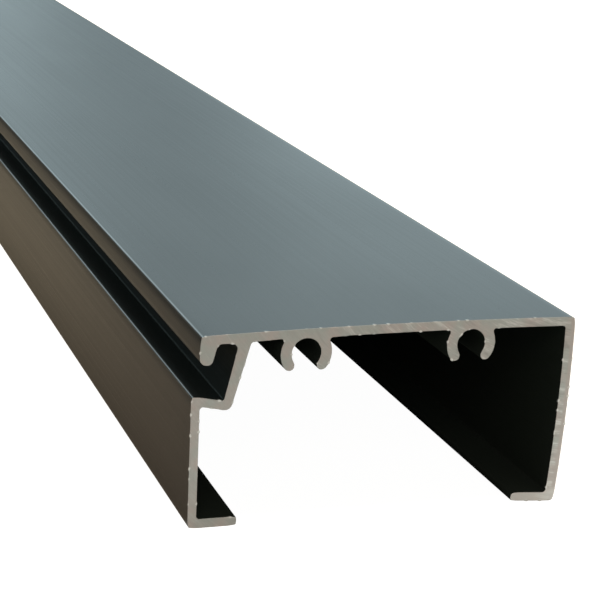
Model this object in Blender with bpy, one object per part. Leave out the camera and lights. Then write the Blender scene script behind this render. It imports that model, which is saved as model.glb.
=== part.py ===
"""Extruded aluminium frame profile: one metre of stock, sawn square at both ends.

X runs across the section, Y along the bar and Z up.  The bar stands on its foot and on the
bottom of its right wall, the way it lies on a floor.  The origin is the middle of its footprint.
"""
import bpy
import bmesh
import math

MM = 0.001

# ---- driving dimensions, in millimetres and degrees -------------------------------------------
LENGTH = 1000.0        # one sale length of stock
WIDTH = 60.0           # foot of the left wall to the top corner of the right wall
HEIGHT = 30.3          # floor to the top corner of the right wall
PLATE_FALL = 0.9       # the top plate's left edge lies this much lower than its right edge
CROWN_TOP = 0.40       # the top plate bows up by this much in the middle
RIGHT_SET = 0.30       # the right wall's foot is set in this far from its top corner
CROWN_RIGHT = 0.40     # the right wall bows out by this much
LEFT_LEAN = 1.2        # the left wall leans out towards its shoulder
SHOULDER_Z = 20.5      # top of the left wall

T_PLATE = 1.42         # top plate
T_RIGHT = 1.60         # right wall
T_LEFT = 1.30          # left wall
T_WEB = 1.40           # inclined web of the groove, at its foot
T_FLOOR = 1.36         # sloping floor of the groove
T_FOOT = 1.42          # foot under the left wall
T_LIP = 1.40           # lip under the right wall

NOSE_X = 0.55          # the nose is set back this far from the left wall's foot
NOSE_Z = 25.0          # lowest point of the nose
NOSE_TIP = 1.85        # width of the nose near its round end
NOSE_ROOT = 2.60       # width of the nose where it joins the plate
FLOOR_FALL = 10.8      # the groove floor falls towards the web
WEB_FOOT_X = 4.48      # left face of the web, where it stands on the groove floor
WEB_LEAN = 11.9        # the web's left face leans out towards the top
WEB_SPREAD = 2.4       # its right face leans this much more, so the web thickens upwards
FOOT_END = 7.50        # free end of the foot
LIP_END = 52.10        # free end of the lip
LIP_RISE = 4.0         # the lip rises towards its free end

PORT_X = (16.60, 42.80)   # centres of the two screw ports
PORT_BORE = 2.28          # bore radius of a screw port
PORT_WALL = 1.66          # wall of a screw port
PORT_OPEN = 38.0          # degrees below level at which each jaw ends

R_CORNER = 0.35        # outside corners
R_SHARP = 0.20         # free end of the foot, lower edge of the lip
R_LIP = 0.55           # upper edge of the lip's free end
R_INSIDE = 0.50        # inside corners
R_FLOOR = 0.30         # foot of the web, inside the groove
R_ROOF = 0.85          # both corners under the groove's roof
R_HAUNCH = 0.60        # web under the top plate
R_HEEL = 1.00          # outside of the groove's lower corner
R_ROOT = 0.45          # inside corners beside the screw ports
R_TIP = 0.85           # free end of the nose
CORNER_SHARE = 0.48    # most of a straight side that one rounded corner may take

# ---- facets -----------------------------------------------------------------------------------
CROWN_FACETS = 15      # top plate, outer face
RIGHT_FACETS = 10      # right wall, each face
SPAN_FACETS = (4, 7)   # plate's inner face right of the ports, and between them
ROUND_STEP = 18.0      # degrees per facet on the small rounds
PORT_STEP = 9.0        # degrees per facet on the screw ports
SHARP_ANGLE = 30.0     # degrees between two faces that still shade as one

# ---- finish: charcoal bronze anodised aluminium, satin ----------------------------------------
COLOUR = (0.105, 0.100, 0.088, 1.0)
METALLIC = 0.85
ROUGHNESS = 0.42


# ---- plane geometry: x from the foot of the left wall, z from the floor -------------------------
def slope(degrees):
    return math.tan(math.radians(degrees))


def bow(t, sagitta):
    """Height of a shallow circular arc over its chord, t running from 0 to 1, per unit chord."""
    radius = (0.25 + sagitta * sagitta) / (2.0 * sagitta)
    return math.sqrt(radius * radius - (t - 0.5) ** 2) - (radius - sagitta)


def top_z(x):
    """Outer face of the top plate."""
    t = min(max(x / WIDTH, 0.0), 1.0)
    return HEIGHT - PLATE_FALL * (1.0 - t) + WIDTH * bow(t, CROWN_TOP / WIDTH)


def under_z(x):
    """Inner face of the top plate."""
    return top_z(x) - T_PLATE


def right_x(z):
    """Outer face of the right wall."""
    t = min(max(z / HEIGHT, 0.0), 1.0)
    return WIDTH - RIGHT_SET * (1.0 - t) + HEIGHT * bow(t, CROWN_RIGHT / HEIGHT)


def left_x(z):
    """Outer face of the left wall."""
    return -z * slope(LEFT_LEAN)


def crossing(x0, z0, dx_dz, x1, z1, dz_dx):
    """Where the steep line x = x0 + (z - z0) * dx_dz meets the flat line z = z1 + (x - x1) * dz_dx."""
    z = (z1 + (x0 - z0 * dx_dz - x1) * dz_dx) / (1.0 - dx_dz * dz_dx)
    return x0 + (z - z0) * dx_dz, z


def steps(a, b, count):
    """Values that cut the way from a to b into equal stretches, without the two ends."""
    return [a + (b - a) * k / count for k in range(1, count)]


def arc(cx, cz, r, a0, a1, step):
    """Points on a circle from angle a0 to a1 in degrees, both ends included."""
    count = max(2, math.ceil(abs(a1 - a0) / step))
    pts = []
    for k in range(count + 1):
        a = math.radians(a0 + (a1 - a0) * k / count)
        pts.append((cx + r * math.cos(a), cz + r * math.sin(a)))
    return pts


def plain(points):
    """Outline points that stay as they are."""
    return [(x, z, 0.0) for x, z in points]


def rounded(outline):
    """Replace every corner that carries a radius with a tangent arc."""
    result = []
    total = len(outline)
    for i in range(total):
        x, z, r = outline[i]
        if r <= 0.0:
            result.append((x, z))
            continue
        ax, az, _ = outline[i - 1]
        bx, bz, _ = outline[(i + 1) % total]
        la = math.hypot(ax - x, az - z)
        lb = math.hypot(bx - x, bz - z)
        ux, uz = (ax - x) / la, (az - z) / la
        vx, vz = (bx - x) / lb, (bz - z) / lb
        half = 0.5 * math.acos(max(-1.0, min(1.0, ux * vx + uz * vz)))
        reach = min(r / math.tan(half), CORNER_SHARE * la, CORNER_SHARE * lb)
        r = reach * math.tan(half)
        mx, mz = ux + vx, uz + vz
        lm = math.hypot(mx, mz)
        cx = x + mx / lm * r / math.sin(half)
        cz = z + mz / lm * r / math.sin(half)
        a0 = math.degrees(math.atan2(z + uz * reach - cz, x + ux * reach - cx))
        a1 = math.degrees(math.atan2(z + vz * reach - cz, x + vx * reach - cx))
        turn = (a1 - a0 + 180.0) % 360.0 - 180.0
        result.extend(arc(cx, cz, r, a0, a0 + turn, ROUND_STEP))
    return result


# ---- section ----------------------------------------------------------------------------------
def screw_port(cx):
    """A screw port hanging under the plate: a C of even wall with two round jaws.

    The points run from the plate on the port's right, round both jaws, to the plate on its left.
    """
    zu = under_z(cx)
    cz = zu - PORT_BORE
    outer = PORT_BORE + PORT_WALL
    middle = PORT_BORE + PORT_WALL / 2.0
    root_z = zu - R_ROOT
    reach = math.sqrt((outer + R_ROOT) ** 2 - (root_z - cz) ** 2)
    lift = math.degrees(math.atan2(root_z - cz, reach))
    jaw_x = middle * math.cos(math.radians(PORT_OPEN))
    jaw_z = cz - middle * math.sin(math.radians(PORT_OPEN))
    pts = []
    pts += arc(cx + reach, root_z, R_ROOT, 90.0, 180.0 + lift, ROUND_STEP)
    pts += arc(cx, cz, outer, lift, -PORT_OPEN, PORT_STEP)[1:]
    pts += arc(cx + jaw_x, jaw_z, PORT_WALL / 2.0, -PORT_OPEN, -PORT_OPEN - 180.0, ROUND_STEP)[1:]
    pts += arc(cx, cz, PORT_BORE, -PORT_OPEN, 180.0 + PORT_OPEN, PORT_STEP)[1:]
    pts += arc(cx - jaw_x, jaw_z, PORT_WALL / 2.0, PORT_OPEN, PORT_OPEN - 180.0, ROUND_STEP)[1:]
    pts += arc(cx, cz, outer, 180.0 + PORT_OPEN, 180.0 - lift, PORT_STEP)[1:]
    pts += arc(cx - reach, root_z, R_ROOT, -lift, 90.0, ROUND_STEP)[1:]
    return plain(pts)


def plate_outside():
    """The plate's outer face, from the corner over the nose to the right wall."""
    line = [(NOSE_X, top_z(NOSE_X), R_CORNER)]
    line += plain([(x, top_z(x)) for x in steps(0.0, WIDTH, CROWN_FACETS)])
    line.append((WIDTH, HEIGHT, R_CORNER))
    return line


def right_wall_and_lip():
    """Down the right wall's outer face, round the lip, and up its inner face to the plate."""
    foot_x = right_x(0.0)
    lip_low = (foot_x - LIP_END) * slope(LIP_RISE)
    lip_tall = T_LIP / math.cos(math.radians(LIP_RISE))
    inner_low = T_RIGHT * slope(LIP_RISE) + lip_tall
    inner_high = under_z(WIDTH - T_RIGHT)
    line = plain([(right_x(z), z) for z in steps(HEIGHT, 0.0, RIGHT_FACETS)])
    line.append((foot_x, 0.0, R_CORNER))
    line.append((LIP_END, lip_low, R_SHARP))
    line.append((LIP_END, lip_low + lip_tall, R_LIP))
    line.append((right_x(inner_low) - T_RIGHT, inner_low, R_INSIDE))
    line += plain([(right_x(z) - T_RIGHT, z) for z in steps(inner_low, inner_high, RIGHT_FACETS)])
    line.append((right_x(inner_high) - T_RIGHT, inner_high, R_INSIDE))
    return line


def plate_inside():
    """The plate's inner face from the right wall to the second port, with both ports."""
    port_1, port_2 = [screw_port(x) for x in PORT_X]
    line = plain([(x, under_z(x)) for x in steps(WIDTH - T_RIGHT, port_2[0][0], SPAN_FACETS[0])])
    line += port_2
    line += plain([(x, under_z(x)) for x in steps(port_2[-1][0], port_1[0][0], SPAN_FACETS[1])])
    line += port_1
    return line


def groove_and_left_wall():
    """Down the web's right face, round the left wall and its foot, and up through the groove."""
    fall = -slope(FLOOR_FALL)
    lean = slope(WEB_LEAN)
    spread = slope(WEB_LEAN + WEB_SPREAD)
    floor_x = left_x(SHOULDER_Z)
    drop = T_FLOOR / math.cos(math.radians(FLOOR_FALL))
    web_z = SHOULDER_Z + (WEB_FOOT_X - floor_x) * fall
    web_right = WEB_FOOT_X + T_WEB / math.cos(math.radians(WEB_LEAN))
    roof = under_z(WEB_FOOT_X)

    haunch_x = web_right + (roof - web_z) * spread
    haunch_z = under_z(haunch_x)
    heel = crossing(web_right, web_z, spread, floor_x, SHOULDER_Z - drop, fall)
    armpit = crossing(T_LEFT, 0.0, -slope(LEFT_LEAN), floor_x, SHOULDER_Z - drop, fall)

    line = [(web_right + (haunch_z - web_z) * spread, haunch_z, R_HAUNCH)]
    line.append((*heel, R_HEEL))
    line.append((*armpit, R_INSIDE))
    line.append((left_x(T_FOOT) + T_LEFT, T_FOOT, R_INSIDE))
    line.append((FOOT_END, T_FOOT, R_SHARP))
    line.append((FOOT_END, 0.0, R_SHARP))
    line.append((0.0, 0.0, R_CORNER))
    line.append((floor_x, SHOULDER_Z, R_CORNER))
    line.append((WEB_FOOT_X, web_z, R_FLOOR))
    line.append((WEB_FOOT_X + (roof - web_z) * lean, roof, R_ROOF))
    return line


def nose():
    """The nose that hangs from the plate's left edge, from the groove's roof to its round tip."""
    return [
        (NOSE_X + NOSE_ROOT, under_z(WEB_FOOT_X), R_ROOF),
        (NOSE_X + NOSE_TIP, NOSE_Z, R_TIP),
        (NOSE_X, NOSE_Z, R_TIP),
    ]


def section():
    """The whole section as one closed outline, drawn clockwise from the corner over the nose."""
    return rounded(
        plate_outside() + right_wall_and_lip() + plate_inside() + groove_and_left_wall() + nose()
    )


# ---- solid ------------------------------------------------------------------------------------
def clear_scene():
    for ob in list(bpy.data.objects):
        bpy.data.objects.remove(ob, do_unlink=True)


def dark_anodised():
    mat = bpy.data.materials.new("dark_anodised")
    mat.use_nodes = True
    shader = mat.node_tree.nodes["Principled BSDF"]
    shader.inputs["Base Color"].default_value = COLOUR
    shader.inputs["Metallic"].default_value = METALLIC
    shader.inputs["Roughness"].default_value = ROUGHNESS
    return mat


def build():
    """Run the section along Y, centred over its footprint."""
    clear_scene()
    outline = section()
    xs = [x for x, z in outline]
    middle = (min(xs) + max(xs)) / 2.0

    bm = bmesh.new()
    near, far = [
        [bm.verts.new(((x - middle) * MM, y * MM, z * MM)) for x, z in outline]
        for y in (-LENGTH / 2.0, LENGTH / 2.0)
    ]
    count = len(outline)
    for i in range(count):
        j = (i + 1) % count
        bm.faces.new((near[i], near[j], far[j], far[i]))
    bm.faces.new(near)
    bm.faces.new(list(reversed(far)))
    bmesh.ops.recalc_face_normals(bm, faces=bm.faces[:])

    mesh = bpy.data.meshes.new("extruded_profile")
    bm.to_mesh(mesh)
    bm.free()
    profile = bpy.data.objects.new("extruded_profile", mesh)
    bpy.context.scene.collection.objects.link(profile)
    mesh.materials.append(dark_anodised())
    mesh.shade_smooth()
    mesh.set_sharp_from_angle(angle=math.radians(SHARP_ANGLE))


build()
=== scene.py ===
import math

import bmesh
import bpy
import numpy as np
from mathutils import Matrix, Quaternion, Vector, noise
from mathutils.geometry import delaunay_2d_cdt


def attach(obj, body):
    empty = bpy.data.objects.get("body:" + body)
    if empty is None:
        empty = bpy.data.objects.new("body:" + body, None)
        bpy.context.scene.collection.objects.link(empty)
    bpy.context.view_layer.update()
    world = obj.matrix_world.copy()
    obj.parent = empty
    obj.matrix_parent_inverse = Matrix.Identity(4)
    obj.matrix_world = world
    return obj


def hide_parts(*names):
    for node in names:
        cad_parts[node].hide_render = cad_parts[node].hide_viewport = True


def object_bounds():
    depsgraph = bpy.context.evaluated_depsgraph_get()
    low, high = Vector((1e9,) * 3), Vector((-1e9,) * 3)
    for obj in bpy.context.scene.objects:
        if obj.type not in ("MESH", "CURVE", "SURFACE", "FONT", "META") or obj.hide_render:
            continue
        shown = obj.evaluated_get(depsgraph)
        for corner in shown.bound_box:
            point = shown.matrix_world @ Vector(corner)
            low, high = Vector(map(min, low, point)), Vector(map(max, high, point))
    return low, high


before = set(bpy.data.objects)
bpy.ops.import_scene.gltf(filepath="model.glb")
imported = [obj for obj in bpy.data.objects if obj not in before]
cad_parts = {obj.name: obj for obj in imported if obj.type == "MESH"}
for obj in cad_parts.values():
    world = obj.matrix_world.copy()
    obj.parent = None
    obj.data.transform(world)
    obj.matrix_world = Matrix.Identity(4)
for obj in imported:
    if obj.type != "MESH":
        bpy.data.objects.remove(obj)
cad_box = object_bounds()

# Everything is in the frame's own units: metres, X across the section, Y along the bar, Z up.
MM = 0.001
NODE = "extruded_profile"
LEFT, RIGHT = cad_box[0].x, cad_box[1].x
NEAR, FAR = cad_box[0].y, cad_box[1].y

# ---- camera -----------------------------------------------------------------------------------
CAMERA_FROM_NEAR_END = Vector((-94.92, -216.71, 100.4)) * MM   # from the middle of the near footprint
CAMERA_AIM = Vector((0.332993, 0.901971, -0.274889))
CAMERA_ROLL = 3.98                                            # degrees, counter-clockwise
SENSOR = 36.0                                                 # mm
LENS = 100.72                                                 # mm
CLIP = (0.01, 50.0)                                           # metres

# ---- the skin ---------------------------------------------------------------------------------
KEY_DIGITS = 6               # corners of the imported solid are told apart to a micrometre
POINT_GAP = 0.4 * MM         # widest gap between points round the section
CORNER_WINDOW = 0.6 * MM     # a corner's turn is added up over this distance each way
ROLL = 1.3 * MM              # the skin rolls off this far from each outside corner
ROLL_DEPTH = 0.13 * MM
SHARP = 0.45                 # corners at least this sharp have a roll-off
SHELTER_RAYS = 24            # directions looked along from each point of the section
LIFT = 1e-5                  # they start this far off the skin, and nearer hits don't count
LEVEL = 1e-6                 # a direction that falls less than this never meets the floor
PARALLEL = 1e-12             # stands for zero where two directions are parallel
STATIONS = (0.25, 0.6, 1.2, 2.5, 5.0, 10.0, 20.0, 40.0, 80.0, 160.0, 320.0)   # mm past the burrs
CREASE = 32.0                # degrees; sharper edges are shaded as edges

# ---- the sawn ends ----------------------------------------------------------------------------
GRID = 0.24 * MM             # triangular grid that carries the saw marks
ROW = GRID * math.sqrt(0.75)   # between its rows
GRID_CLEAR = 0.55 * GRID     # it keeps this far from the rim
KEEP_INSIDE = 1              # delaunay_2d_cdt's number for the triangles inside the rim
MERGE = 1e-9                 # points closer than this become one
CHAMFER = 0.04 * MM          # narrow bevel that the saw and handling leave round the cut
BURR = 0.13 * MM             # most that a burr stands out from the skin
BURR_LEAN = 0.6              # and how far over the cut, as a share of how far it stands out
BURR_REACH = 0.5 * MM        # how far a burr runs back from the cut
BURR_SIZE = 0.75 * MM        # usual length of one burr round the section
BURR_NOISE = (0.24, 0.50)    # noise at which a burr begins, and at which it is full
BLADE_ACROSS = 70.0 * MM     # middle of the blade's arcs, right of the section's left edge
BLADE_UP = 75.0 * MM         # and above the floor
BLADE_RADIUS = math.hypot(BLADE_ACROSS, BLADE_UP)   # turns an angle into a length along an arc
RIDGE = 0.9 * MM             # usual distance between two saw marks
RIDGE_DEPTH = 0.03 * MM
STREAK = 5.0 * MM            # usual length of one saw mark
COARSE_SHARE = 0.5           # how much the coarse and the fine marks count
FINE_SHARE = 0.25
FINE_RIDGE = 2.7             # fine marks lie this many times closer
FINE_STREAK = 1.6            # and are this many times shorter
FINE_SLICE = 7.0             # and are read from another slice of the noise
NEAR_SEED, FAR_SEED = 3.0, 11.0
BAND = 0.70 * MM             # width of the smooth strip along the right wall's outer side
BAND_EDGE = 0.15 * MM
BAND_FACING = 0.9            # the strip follows the skin whose normal points this much along +X

# ---- colours ----------------------------------------------------------------------------------
SKIN, SAWN = 0, 1                       # places of the two materials on the bar
DYE = (0.066, 0.066, 0.063)             # dark anodised skin
DYE_LIGHT = (0.078, 0.078, 0.075)
PAINTED_SHADE_GROOVE = (0.028, 0.034, 0.030)   # painted shade inside the groove
PAINTED_SHADE_CHANNEL = (0.026, 0.032, 0.025)      # painted shade deep inside the channel, which is never rubbed
WORN = (0.43, 0.43, 0.42)               # corners rubbed thin
BARE = (0.425, 0.405, 0.375)            # sawn metal
BARE_ROSY = (0.445, 0.390, 0.355)
BARE_COOL = (0.395, 0.395, 0.360)
BARE_LIGHT = (0.67, 0.65, 0.61)
BARE_DARK = (0.31, 0.29, 0.265)

# ---- the section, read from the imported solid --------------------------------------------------
def rim(node):
    """The section's corners in order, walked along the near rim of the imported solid."""
    mesh = node.data
    after = {}
    for face in mesh.polygons:
        places = [mesh.vertices[i].co for i in face.vertices]
        at_end = [abs(place.y - NEAR) < MM for place in places]
        if all(at_end):
            continue
        for k, place in enumerate(places):
            ahead = (k + 1) % len(places)
            if at_end[k] and at_end[ahead]:
                here = (round(place.x, KEY_DIGITS), round(place.z, KEY_DIGITS))
                there = (round(places[ahead].x, KEY_DIGITS), round(places[ahead].z, KEY_DIGITS))
                after[here] = there
    start = min(after)
    loop = [start]
    while after[loop[-1]] != start:
        loop.append(after[loop[-1]])
    return np.array(loop)


def area(loop):
    """The loop's area, below zero where it runs clockwise."""
    x, z = loop[:, 0], loop[:, 1]
    return 0.5 * float(np.sum(x * np.roll(z, -1) - np.roll(x, -1) * z))


def refine(loop):
    """The loop with points added so that none lies further than POINT_GAP from the next."""
    points = []
    for a, b in zip(loop, np.roll(loop, -1, axis=0)):
        count = max(1, math.ceil(np.linalg.norm(b - a) / POINT_GAP))
        points += [a + (b - a) * k / count for k in range(count)]
    return np.array(points)


def outward(loop):
    """Unit normals of a loop that runs counter-clockwise, pointing out of the metal."""
    ahead = np.roll(loop, -1, axis=0) - loop
    ahead /= np.linalg.norm(ahead, axis=1)[:, None]
    both = ahead + np.roll(ahead, 1, axis=0)
    both /= np.linalg.norm(both, axis=1)[:, None]
    return np.stack([both[:, 1], -both[:, 0]], axis=1)


def corners(loop):
    """How sharply the skin turns outwards near each point: 1 at a full square corner."""
    ahead = np.roll(loop, -1, axis=0) - loop
    heading = np.arctan2(ahead[:, 1], ahead[:, 0])
    turn = (heading - np.roll(heading, 1) + math.pi) % (2 * math.pi) - math.pi
    gaps = np.linalg.norm(loop[:, None] - loop[None], axis=2)
    near = np.clip(1.0 - gaps / CORNER_WINDOW, 0.0, 1.0)
    return np.clip((near @ turn) / (0.5 * math.pi), 0.0, 1.0)


def roll_off(loop, corner):
    """How far the skin lies back from the loop as it rolls off towards each outside corner."""
    sharp = loop[corner > SHARP]
    gaps = np.linalg.norm(loop[:, None] - sharp[None], axis=2).min(axis=1)
    return ROLL_DEPTH * np.clip(1.0 - gaps / ROLL, 0.0, 1.0) ** 2


def shelter(loop, normals):
    """Share of the outward half circle that the section itself, or the floor inside it, closes off."""
    start = loop + normals * LIFT
    edge = np.roll(loop, -1, axis=0) - loop
    gap = loop[None] - start[:, None]
    closed = np.zeros(len(loop))
    for k in range(SHELTER_RAYS):
        turn = math.pi * ((k + 0.5) / SHELTER_RAYS - 0.5)
        across, up = math.cos(turn), math.sin(turn)
        way_x = normals[:, 0] * across - normals[:, 1] * up
        way_z = normals[:, 0] * up + normals[:, 1] * across
        way = np.stack([way_x, way_z], axis=1)
        cross = way[:, None, 0] * edge[None, :, 1] - way[:, None, 1] * edge[None, :, 0]
        cross = np.where(np.abs(cross) < PARALLEL, PARALLEL, cross)
        on_ray = (gap[..., 0] * edge[None, :, 1] - gap[..., 1] * edge[None, :, 0]) / cross
        on_edge = (gap[..., 0] * way[:, None, 1] - gap[..., 1] * way[:, None, 0]) / cross
        hit = ((on_ray > LIFT) & (on_edge >= 0.0) & (on_edge <= 1.0)).any(axis=1)
        down = way_z < -LEVEL
        reach = np.where(down, -start[:, 1] / np.where(down, way_z, -1.0), 0.0)
        lands = start[:, 0] + way_x * reach
        within = down & (lands > LEFT) & (lands < RIGHT)
        closed += hit | within
    return closed / SHELTER_RAYS


# ---- sawn ends --------------------------------------------------------------------------------
def inside(points, loop):
    """Which points lie inside the loop."""
    x, z = points[:, 0][:, None], points[:, 1][:, None]
    x0, z0 = loop[:, 0][None], loop[:, 1][None]
    x1, z1 = np.roll(loop[:, 0], -1)[None], np.roll(loop[:, 1], -1)[None]
    spans = (z0 > z) != (z1 > z)
    rise = np.where(z1 == z0, 1.0, z1 - z0)
    crossing = spans & (x < (x1 - x0) * (z - z0) / rise + x0)
    return crossing.sum(axis=1) % 2 == 1


def distance(points, loop):
    """Distance of each point to the nearest stretch of the loop."""
    a = loop
    edge = np.roll(loop, -1, axis=0) - a
    t = ((points[:, None] - a[None]) * edge[None]).sum(axis=2) / (edge * edge).sum(axis=1)[None]
    foot = a[None] + edge[None] * np.clip(t, 0.0, 1.0)[..., None]
    return np.linalg.norm(points[:, None] - foot, axis=2).min(axis=1)


def fill(loop):
    """Points and triangles that fill the loop, with a fine grid inside it.

    The third list gives each point's place in the loop, or a number past its end for a grid point.
    """
    low, high = loop.min(axis=0), loop.max(axis=0)
    rows = np.arange(low[1], high[1], ROW)
    grid = []
    for k, z in enumerate(rows):
        xs = np.arange(low[0] + (k % 2) * 0.5 * GRID, high[0], GRID)
        grid += [(x, z) for x in xs]
    grid = np.array(grid)
    grid = grid[inside(grid, loop)]
    grid = grid[distance(grid, loop) > GRID_CLEAR]
    flat = [Vector(p) for p in np.vstack([loop, grid])]
    ring = list(range(len(loop)))
    made = delaunay_2d_cdt(flat, [], [ring], KEEP_INSIDE, MERGE)
    source = [ids[0] for ids in made[3]]
    points = np.array([tuple(p) for p in made[0]])
    triangles = [tuple(t) for t in made[2]]
    return points, triangles, source


def saw_mark(x, z, seed):
    """Depth of the saw marks at a point of the section, mostly between 0 and 1."""
    dx = x - (LEFT + BLADE_ACROSS)
    dz = z - BLADE_UP
    r = math.hypot(dx, dz) / RIDGE
    along = math.atan2(dz, dx) * BLADE_RADIUS / STREAK
    coarse = noise.noise(Vector((r, along, seed)))
    fine = noise.noise(Vector((FINE_RIDGE * r, FINE_STREAK * along, seed + FINE_SLICE)))
    return 0.5 + COARSE_SHARE * coarse + FINE_SHARE * fine


def band(x, z, loop, normals):
    """1 on the smooth outer strip of the right wall, where the blade left the metal, and 0 elsewhere."""
    if x < RIGHT - 2.0 * BAND:
        return 0.0
    gaps = np.hypot(loop[:, 0] - x, loop[:, 1] - z)
    nearest = gaps[normals[:, 0] > BAND_FACING].min()
    return float(np.clip((BAND - nearest) / BAND_EDGE, 0.0, 1.0))


def burrs(loop, seed):
    """How far a burr stands out at each point of the rim, between 0 and 1."""
    gaps = np.linalg.norm(np.roll(loop, -1, axis=0) - loop, axis=1)
    run = np.concatenate([[0.0], np.cumsum(gaps)[:-1]])
    values = np.array([noise.noise(Vector((s / BURR_SIZE, seed, 0.0))) for s in run])
    begins, full = BURR_NOISE
    return np.clip((values - begins) / (full - begins), 0.0, 1.0)


# ---- the bar ----------------------------------------------------------------------------------
def bar():
    """The whole bar as one mesh: its skin, a narrow bevel round each cut, and the two sawn faces."""
    loop = rim(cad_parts[NODE])
    if area(loop) < 0.0:
        loop = loop[::-1]
    loop = refine(loop)
    normals = outward(loop)
    corner = corners(loop)
    # how closed off each point is; the skin's painted shade follows it
    closed = shelter(loop, normals)
    loop = loop - normals * roll_off(loop, corner)[:, None]
    count = len(loop)
    zero = np.zeros(count)

    bm = bmesh.new()
    corner_layer = bm.verts.layers.float.new("corner")
    shelter_layer = bm.verts.layers.float.new("shelter")
    bare_layer = bm.verts.layers.float.new("bare")
    band_layer = bm.verts.layers.float.new("smooth_band")

    def ring(offsets, ys, bare):
        """One ring of points round the section, each pushed out by its own offset."""
        made = []
        for k in range(count):
            x, z = loop[k] + normals[k] * offsets[k]
            v = bm.verts.new((x, ys[k], max(z, 0.0)))
            v[corner_layer] = corner[k]
            v[shelter_layer] = closed[k]
            v[bare_layer] = bare[k]
            made.append(v)
        return made

    def join(first, second, material):
        """A strip of faces between two rings."""
        for k in range(count):
            j = (k + 1) % count
            face = bm.faces.new((first[k], first[j], second[j], second[k]))
            face.material_index = material

    def cut(end, way, seed):
        """Bevel and sawn face at one end; way is 1 at the near end and -1 at the far end."""
        burr = burrs(loop, seed)
        edge_ring = ring(burr * BURR, end + way * (CHAMFER - BURR_LEAN * burr * BURR), burr)
        inner = loop - normals * CHAMFER
        points, triangles, source = fill(inner)
        face_verts = []
        for (x, z), k in zip(points, source):
            on_rim = k < count
            depth = 0.0 if on_rim else RIDGE_DEPTH * saw_mark(x, z, seed)
            v = bm.verts.new((x, end + way * depth, max(z, 0.0)))
            v[corner_layer] = 1.0 if on_rim else 0.0
            v[bare_layer] = burr[k] if on_rim else 0.0
            v[band_layer] = band(x, z, loop, normals)
            face_verts.append(v)
        by_rim = {k: v for v, k in zip(face_verts, source) if k < count}
        join([by_rim[k] for k in range(count)], edge_ring, SAWN)
        for t in triangles:
            face = bm.faces.new([face_verts[i] for i in t])
            face.material_index = SAWN
        fade = ring(zero, np.full(count, end + way * (CHAMFER + BURR_REACH)), zero)
        join(edge_ring, fade, SKIN)
        return fade

    near = cut(NEAR, 1.0, NEAR_SEED)
    far = cut(FAR, -1.0, FAR_SEED)
    ahead = [NEAR + BURR_REACH + s * MM for s in STATIONS]
    behind = [FAR - BURR_REACH - s * MM for s in reversed(STATIONS)]
    last = near
    for y in ahead + behind:
        following = ring(zero, np.full(count, y), zero)
        join(last, following, SKIN)
        last = following
    join(last, far, SKIN)
    bmesh.ops.recalc_face_normals(bm, faces=bm.faces[:])
    mesh = bpy.data.meshes.new("anodised_bar")
    bm.to_mesh(mesh)
    bm.free()
    mesh.shade_smooth()
    mesh.set_sharp_from_angle(angle=math.radians(CREASE))
    made = bpy.data.objects.new("anodised_bar", mesh)
    bpy.context.scene.collection.objects.link(made)
    return made


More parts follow.
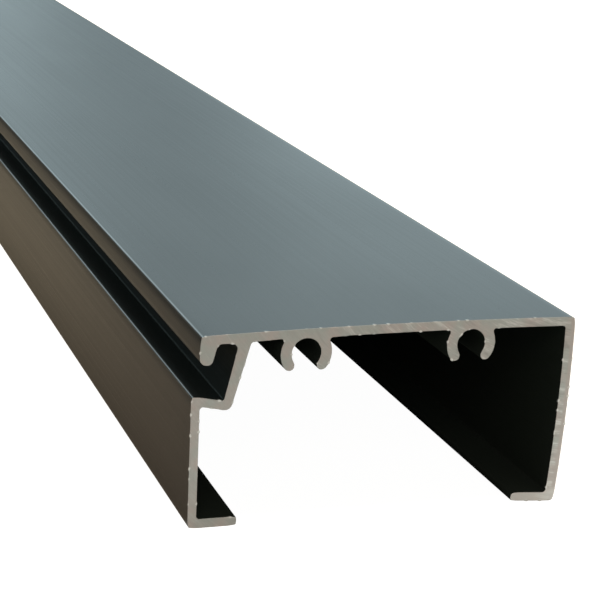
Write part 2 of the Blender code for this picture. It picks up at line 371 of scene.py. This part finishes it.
# ---- material nodes ---------------------------------------------------------------------------
class Tree:
    """Small helper that adds and links the nodes of one material or world."""

    def __init__(self, owner):
        owner.use_nodes = True
        self.owner = owner
        self.nodes = owner.node_tree.nodes
        self.links = owner.node_tree.links
        self.shader = self.nodes.get("Principled BSDF")

    def put(self, socket, value):
        """Link another node's output to a socket, or set the socket's own value."""
        if isinstance(value, bpy.types.NodeSocket):
            self.links.new(value, socket)
        else:
            socket.default_value = value

    def math(self, operation, a, b=0.0, clamp=False):
        """One operation on two values."""
        node = self.nodes.new("ShaderNodeMath")
        node.operation = operation
        node.use_clamp = clamp
        self.put(node.inputs[0], a)
        self.put(node.inputs[1], b)
        return node.outputs[0]

    def vector(self, x, y, z):
        """A vector of three values."""
        node = self.nodes.new("ShaderNodeCombineXYZ")
        for socket, value in zip(node.inputs, (x, y, z)):
            self.put(socket, value)
        return node.outputs[0]

    def scaled(self, x, y, z, *factors):
        """A vector of three values, each times its own factor."""
        return self.vector(*[self.math("MULTIPLY", value, by) for value, by in zip((x, y, z), factors)])

    def place(self):
        """The point's own X, Y and Z, in millimetres."""
        coords = self.nodes.new("ShaderNodeTexCoord")
        scale = self.nodes.new("ShaderNodeVectorMath")
        scale.operation = "SCALE"
        scale.inputs["Scale"].default_value = 1.0 / MM
        self.put(scale.inputs[0], coords.outputs["Object"])
        split = self.nodes.new("ShaderNodeSeparateXYZ")
        self.put(split.inputs[0], scale.outputs[0])
        return tuple(split.outputs)

    def noise(self, vector, detail=2.0, roughness=0.5):
        """A noise with one feature for each unit of the vector."""
        node = self.nodes.new("ShaderNodeTexNoise")
        node.inputs["Scale"].default_value = 1.0
        node.inputs["Detail"].default_value = detail
        node.inputs["Roughness"].default_value = roughness
        self.put(node.inputs["Vector"], vector)
        return node.outputs["Fac"]

    def span(self, value, low, high, to_low=0.0, to_high=1.0):
        """Carry the range from low to high smoothly over to another, and hold it past its ends."""
        node = self.nodes.new("ShaderNodeMapRange")
        node.interpolation_type = "SMOOTHSTEP"
        for name, number in (("From Min", low), ("From Max", high), ("To Min", to_low), ("To Max", to_high)):
            node.inputs[name].default_value = number
        self.put(node.inputs["Value"], value)
        return node.outputs["Result"]

    def mix(self, factor, a, b):
        """The first colour where the factor is 0, and the second where it is 1."""
        node = self.nodes.new("ShaderNodeMix")
        node.data_type = "RGBA"
        self.put(node.inputs["Factor"], factor)
        for socket, value in ((node.inputs["A"], a), (node.inputs["B"], b)):
            self.put(socket, value if isinstance(value, bpy.types.NodeSocket) else (*value, 1.0))
        return node.outputs["Result"]

    def attribute(self, name):
        """A value that the mesh holds at each of its points."""
        node = self.nodes.new("ShaderNodeAttribute")
        node.attribute_name = name
        return node.outputs["Fac"]

    def glow(self, kind, colour, strength=1.0):
        """An Emission or Background shader."""
        node = self.nodes.new(kind)
        self.put(node.inputs["Color"], colour if isinstance(colour, bpy.types.NodeSocket) else (*colour, 1.0))
        self.put(node.inputs["Strength"], strength)
        return node.outputs[0]

    def shown(self, output, others, camera):
        """Send one shader to the camera and another to every other ray."""
        path = self.nodes.new("ShaderNodeLightPath")
        choice = self.nodes.new("ShaderNodeMixShader")
        self.put(choice.inputs[0], path.outputs["Is Camera Ray"])
        self.put(choice.inputs[1], others)
        self.put(choice.inputs[2], camera)
        self.put(self.nodes[output].inputs["Surface"], choice.outputs[0])

    def weighted(self, a, share_a, b, share_b):
        """The sum of two values, each times its own share."""
        return self.math("ADD", self.math("MULTIPLY", a, share_a), self.math("MULTIPLY", b, share_b))

    def bump(self, height, depth, strength):
        """Fine relief on the material's surface."""
        node = self.nodes.new("ShaderNodeBump")
        node.inputs["Strength"].default_value = strength
        node.inputs["Distance"].default_value = depth
        self.put(node.inputs["Height"], height)
        self.put(self.shader.inputs["Normal"], node.outputs["Normal"])


# ---- the anodised skin ------------------------------------------------------------------------
# Noises are given as features per millimetre, along X, Y and Z. A range of four numbers gives two
# values of a pattern and what each becomes.
DIE_LINES = (3.2, 0.006, 3.2)           # fine across the bar and very long along it
CLOUDS = (0.05, 0.02, 0.05)
GRAIN = (7.0, 7.0, 7.0)
CLOUD_SHARE, LINE_SHARE = 0.7, 0.3      # of the variation in colour
TONE_RANGE = (0.35, 0.65)
CORNER_RANGE = (0.30, 0.80)             # how sharp a corner is where wear begins, and is full
WEAR_RANGE = (0.35, 0.62, 0.60, 0.95)   # clouds to share worn
SHELTER_RANGE = (0.35, 0.75)            # how closed off a place is where the painted shade begins, and where it is full
CLOSED_RANGE = (0.90, 0.99)             # and where the painted shade is darkest and nothing ever rubs
BURR_SHOWN = (0.1, 0.6)                 # how high a burr is where bare metal begins, and is full
SKIN_METALLIC = 0.92
LINE_ROUGHNESS = (0.3, 0.7, 0.25, 0.29)   # die lines to roughness
GRAIN_ROUGHNESS = 0.06
INNER_ROUGHNESS = 0.2                   # added where it is sheltered, and again where it is closed
LINE_RELIEF, GRAIN_RELIEF = 0.35, 0.65
SKIN_RELIEF = 0.006 * MM                # height of the bump
SKIN_BUMP = 0.45                        # and its strength


def anodised():
    """Satin dark anodised skin: faint die lines along the bar, soft clouds, lighter worn corners, and painted
    shade in the groove and channel.
    """
    tree = Tree(bpy.data.materials.new("dark_anodised_skin"))
    place = tree.place()
    die_lines = tree.noise(tree.scaled(*place, *DIE_LINES), detail=3.0)
    clouds = tree.noise(tree.scaled(*place, *CLOUDS), detail=4.0)
    grain = tree.noise(tree.scaled(*place, *GRAIN), detail=3.0, roughness=0.6)
    sheltered = tree.span(tree.attribute("shelter"), *SHELTER_RANGE)
    closed = tree.span(tree.attribute("shelter"), *CLOSED_RANGE)
    worn = tree.span(tree.attribute("corner"), *CORNER_RANGE)
    worn = tree.math("MULTIPLY", worn, tree.span(clouds, *WEAR_RANGE))
    worn = tree.math("MULTIPLY", worn, tree.math("SUBTRACT", 1.0, closed, clamp=True))

    tone = tree.weighted(clouds, CLOUD_SHARE, die_lines, LINE_SHARE)
    colour = tree.mix(tree.span(tone, *TONE_RANGE), DYE, DYE_LIGHT)
    # painted shade: the skin darkens where the section closes it off
    colour = tree.mix(sheltered, colour, PAINTED_SHADE_GROOVE)
    colour = tree.mix(closed, colour, PAINTED_SHADE_CHANNEL)
    colour = tree.mix(worn, colour, WORN)
    colour = tree.mix(tree.span(tree.attribute("bare"), *BURR_SHOWN), colour, BARE_LIGHT)
    tree.put(tree.shader.inputs["Base Color"], colour)

    rough = tree.weighted(tree.span(die_lines, *LINE_ROUGHNESS), 1.0, grain, GRAIN_ROUGHNESS)
    inner = tree.weighted(sheltered, INNER_ROUGHNESS, closed, INNER_ROUGHNESS)
    tree.put(tree.shader.inputs["Roughness"], tree.math("ADD", rough, inner))
    tree.shader.inputs["Metallic"].default_value = SKIN_METALLIC
    tree.bump(tree.weighted(die_lines, LINE_RELIEF, grain, GRAIN_RELIEF), SKIN_RELIEF, SKIN_BUMP)
    return tree.owner


# ---- the sawn metal ---------------------------------------------------------------------------
COARSE_MARKS = (0.9, 0.10)              # per millimetre out from the blade's middle, and along a mark
SCRATCHES = (4.5, 0.30)
COARSE_SLICE, SCRATCH_SLICE = 0.0, 4.0  # slices of the noise that the two are read from
BARE_CLOUDS = (0.25, 0.25, 0.25)
MOTTLE = (1.1, 1.1, 1.1)
COARSE_WEIGHT, SCRATCH_WEIGHT = 0.6, 0.4   # of the marks
MARKS_ACROSS = (-18.0, 0.0, 0.25, 1.0)  # X in millimetres to strength: faint left, strong right
BARE_RANGE = (0.38, 0.62)               # clouds, from cool to rosy
MOTTLE_RANGE = (0.40, 0.70, 0.0, 0.5)
LIGHT_MARKS = (0.50, 0.66, 0.0, 0.60)   # marks to share of the light tone
DARK_MARKS = (0.46, 0.34, 0.0, 0.60)    # and of the dark one
BAND_TINT = 0.8                         # share of the rosy tone in the smooth strip
LIP_FROM_X = (20.0, 21.0)               # the lip is what lies right of this, in millimetres
LIP_BELOW_Z = (2.6, 1.4)                # and below this
LIP_PAINTED_HIGHLIGHT = 0.55                         # share of the light tone painted there as a highlight
SAWN_METALLIC = 0.85
SAWN_ROUGHNESS = (0.3, 0.7, 0.60, 0.45)   # marks to roughness
SAWN_RELIEF = 0.02 * MM                 # height of the bump
SAWN_BUMP = 0.4                         # and its strength


def sawn():
    """Bare aluminium as the saw leaves it: arcs of fine scratches round the blade's middle, and a painted
    highlight on the lip.
    """
    tree = Tree(bpy.data.materials.new("sawn_aluminium"))
    x, y, z = tree.place()
    dx = tree.math("SUBTRACT", x, (LEFT + BLADE_ACROSS) / MM)
    dz = tree.math("SUBTRACT", z, BLADE_UP / MM)
    r = tree.math("SQRT", tree.math("ADD", tree.math("MULTIPLY", dx, dx), tree.math("MULTIPLY", dz, dz)))
    along = tree.math("MULTIPLY", tree.math("ARCTAN2", dz, dx), BLADE_RADIUS / MM)
    coarse = tree.noise(tree.scaled(r, along, COARSE_SLICE, *COARSE_MARKS, 1.0), detail=1.0)
    scratches = tree.noise(tree.scaled(r, along, SCRATCH_SLICE, *SCRATCHES, 1.0), detail=2.0)
    clouds = tree.noise(tree.scaled(x, y, z, *BARE_CLOUDS), detail=2.0)
    mottle = tree.noise(tree.scaled(x, y, z, *MOTTLE), detail=3.0)
    marks = tree.weighted(coarse, COARSE_WEIGHT, scratches, SCRATCH_WEIGHT)
    band = tree.attribute("smooth_band")
    marked = tree.math("SUBTRACT", 1.0, band, clamp=True)
    marked = tree.math("MULTIPLY", tree.span(x, *MARKS_ACROSS), marked)
    lip_highlight_mask = tree.math("MULTIPLY", tree.span(x, *LIP_FROM_X), tree.span(z, *LIP_BELOW_Z))

    colour = tree.mix(tree.span(clouds, *BARE_RANGE), BARE_COOL, BARE_ROSY)
    colour = tree.mix(tree.span(mottle, *MOTTLE_RANGE), colour, BARE)
    colour = tree.mix(tree.math("MULTIPLY", marked, tree.span(marks, *LIGHT_MARKS)), colour, BARE_LIGHT)
    colour = tree.mix(tree.math("MULTIPLY", marked, tree.span(marks, *DARK_MARKS)), colour, BARE_DARK)
    colour = tree.mix(tree.math("MULTIPLY", band, BAND_TINT), colour, BARE_ROSY)
    # painted highlight: the lip is lightened towards the light tone
    colour = tree.mix(tree.math("MULTIPLY", lip_highlight_mask, LIP_PAINTED_HIGHLIGHT), colour, BARE_LIGHT)
    colour = tree.mix(tree.span(tree.attribute("bare"), *BURR_SHOWN), colour, BARE_LIGHT)
    tree.put(tree.shader.inputs["Base Color"], colour)
    tree.put(tree.shader.inputs["Roughness"], tree.span(marks, *SAWN_ROUGHNESS))
    tree.shader.inputs["Metallic"].default_value = SAWN_METALLIC
    tree.bump(marks, SAWN_RELIEF, SAWN_BUMP)
    return tree.owner


# ---- surroundings -----------------------------------------------------------------------------
# The floor and the sky show plain white. The bar itself sees these colours in them instead.
WHITE = (1.0, 1.0, 1.0)
FLOOR_SIZE = 20.0                       # metres each way from its middle
FLOOR_CELLS = 4                         # along each side of its mesh
FLOOR_DROP = 0.02 * MM                  # keeps the floor clear of the foot
FLOOR_GLOW = 0.98                       # shown to the camera only
FLOOR_NEAR = (0.29, 0.215, 0.160)       # beside the bar's near end
FLOOR_FAR = (0.54, 0.415, 0.290)        # and further along
FLOOR_LEFT = (0.04, 0.045, 0.045)       # and well to its left
FLOOR_PAINTED_SHADOW = (0.05, 0.05, 0.04)        # painted shadow inside its channel, under the bar
FLOOR_FRONT = (0.91, 0.91, 0.89)        # and just before its near end
FAR_FROM = (-30.0, 200.0)               # millimetres along the bar, counted from its near end
LEFT_FROM = (-32.0, -85.0)              # X in millimetres over which the left tone comes in
UNDER_FROM = (30.0, 28.0)               # X in millimetres, on either side of the channel, where the painted shadow ends
FRONT_EDGE = (4.0, -2.0)                # millimetres along the bar: where the front part begins
FRONT_END = (-120.0, -10.0)             # and over what length it fades out again
FRONT_ACROSS = (-20.0, 60.0, 0.83, 1.0)   # X in millimetres to strength
SKY = (0.72, 0.91, 0.97)                # behind and above the bar
SKY_LEFT = (0.03, 0.035, 0.04)          # low on the left, behind the bar
SKY_PATCH = (0.10, 0.14, 0.16)          # a dimmer patch behind the bar
ROOM = (0.62, 0.58, 0.52)               # on the camera's side
OPEN_FROM = (-0.28, 0.0)                # parts of a direction: X where the low sky turns bright
HIGH_FROM = (0.24, 0.42)                # Z where all of the sky is bright
ROOM_FROM = (0.3, -0.3)                 # Y where the sky turns into the room
PATCH_MIDDLE = (0.250, 0.150)           # X and Z
PATCH_RADIUS = (0.080, 0.075)
PATCH_FADE = (0.0, 1.6)                 # square of the distance, in radii


def floor():
    """Plain white light table, which lights the bar as a matt surface of several tones, with a painted shadow
    inside the channel.
    """
    bm = bmesh.new()
    bmesh.ops.create_grid(bm, x_segments=FLOOR_CELLS, y_segments=FLOOR_CELLS, size=FLOOR_SIZE)
    mesh = bpy.data.meshes.new("floor")
    bm.to_mesh(mesh)
    bm.free()
    table = bpy.data.objects.new("floor", mesh)
    table.location.z = -FLOOR_DROP
    bpy.context.scene.collection.objects.link(table)

    tree = Tree(bpy.data.materials.new("white_table"))
    tree.nodes.remove(tree.shader)
    x, y, z = tree.place()
    ahead = tree.math("SUBTRACT", y, NEAR / MM)
    right, left = UNDER_FROM, tuple(-edge for edge in UNDER_FROM)
    under = tree.math("MULTIPLY", tree.span(x, *left), tree.span(x, *right))
    front = tree.math("MULTIPLY", tree.span(ahead, *FRONT_EDGE), tree.span(ahead, *FRONT_END))
    front = tree.math("MULTIPLY", front, tree.span(x, *FRONT_ACROSS))
    colour = tree.mix(tree.span(ahead, *FAR_FROM), FLOOR_NEAR, FLOOR_FAR)
    colour = tree.mix(tree.span(x, *LEFT_FROM), colour, FLOOR_LEFT)
    # painted shadow on the floor under the bar, seen only in the bar's reflections
    colour = tree.mix(under, colour, FLOOR_PAINTED_SHADOW)
    colour = tree.mix(front, colour, FLOOR_FRONT)

    matt = tree.nodes.new("ShaderNodeBsdfDiffuse")
    tree.put(matt.inputs["Color"], colour)
    both = tree.nodes.new("ShaderNodeAddShader")
    tree.put(both.inputs[0], tree.glow("ShaderNodeEmission", WHITE, FLOOR_GLOW))
    tree.put(both.inputs[1], matt.outputs[0])
    tree.shown("Material Output", matt.outputs[0], both.outputs[0])
    mesh.materials.append(tree.owner)
    return table


def surroundings():
    """A cool bright sky behind the bar, dark low on the left, warmer and dimmer on the camera's side."""
    world = bpy.data.worlds.new("studio")
    bpy.context.scene.world = world
    tree = Tree(world)
    coords = tree.nodes.new("ShaderNodeTexCoord")
    split = tree.nodes.new("ShaderNodeSeparateXYZ")
    tree.put(split.inputs[0], coords.outputs["Generated"])
    x, y, z = split.outputs
    bright = tree.math("MAXIMUM", tree.span(x, *OPEN_FROM), tree.span(z, *HIGH_FROM))
    across = tree.math("DIVIDE", tree.math("SUBTRACT", x, PATCH_MIDDLE[0]), PATCH_RADIUS[0])
    up = tree.math("DIVIDE", tree.math("SUBTRACT", z, PATCH_MIDDLE[1]), PATCH_RADIUS[1])
    away = tree.math("ADD", tree.math("MULTIPLY", across, across), tree.math("MULTIPLY", up, up))
    sky = tree.mix(bright, SKY_LEFT, SKY)
    sky = tree.mix(tree.span(away, *PATCH_FADE), SKY_PATCH, sky)
    colour = tree.mix(tree.span(y, *ROOM_FROM), sky, ROOM)
    others = tree.glow("ShaderNodeBackground", colour)
    tree.shown("World Output", others, tree.glow("ShaderNodeBackground", WHITE))


def softbox(name, place, aim, size, power, colour):
    """A square soft light at a place, facing a point."""
    data = bpy.data.lights.new(name, "AREA")
    data.size = size
    data.energy = power
    data.color = colour
    lamp = bpy.data.objects.new(name, data)
    lamp.location = place
    lamp.rotation_mode = "QUATERNION"
    lamp.rotation_quaternion = (aim - place).to_track_quat("-Z", "Y")
    bpy.context.scene.collection.objects.link(lamp)


def camera():
    """The camera, placed from the middle of the bar's near end."""
    data = bpy.data.cameras.new("camera")
    data.sensor_width = SENSOR
    data.lens = LENS
    data.clip_start, data.clip_end = CLIP
    eye = bpy.data.objects.new("camera", data)
    eye.location = Vector((0.0, NEAR, 0.0)) + CAMERA_FROM_NEAR_END
    eye.rotation_mode = "QUATERNION"
    roll = Quaternion((0.0, 0.0, 1.0), math.radians(CAMERA_ROLL))
    eye.rotation_quaternion = CAMERA_AIM.to_track_quat("-Z", "Y") @ roll
    bpy.context.scene.collection.objects.link(eye)
    bpy.context.scene.camera = eye


# ---- scene ------------------------------------------------------------------------------------
OVERHEAD_AT, OVERHEAD_AIM = Vector((0.6, 0.8, 2.2)), Vector((0.0, 0.0, 0.0))
OVERHEAD_SIZE, OVERHEAD_POWER = 1.6, 30.0          # metres, watts
OVERHEAD_COLOUR = (0.90, 0.97, 1.0)
FRONT_AT, FRONT_AIM = Vector((-0.3, NEAR - 1.2, 0.7)), Vector((0.0, NEAR, 0.0))
FRONT_SIZE, FRONT_POWER = 0.9, 9.0                 # metres, watts
FRONT_COLOUR = (1.0, 0.98, 0.94)

camera()
surroundings()
floor()
softbox("overhead", OVERHEAD_AT, OVERHEAD_AIM, OVERHEAD_SIZE, OVERHEAD_POWER, OVERHEAD_COLOUR)
softbox("front", FRONT_AT, FRONT_AIM, FRONT_SIZE, FRONT_POWER, FRONT_COLOUR)
bpy.context.scene.view_settings.view_transform = "Standard"

piece = bar()
piece.data.materials.append(anodised())
piece.data.materials.append(sawn())
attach(piece, "root")
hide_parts(NODE)
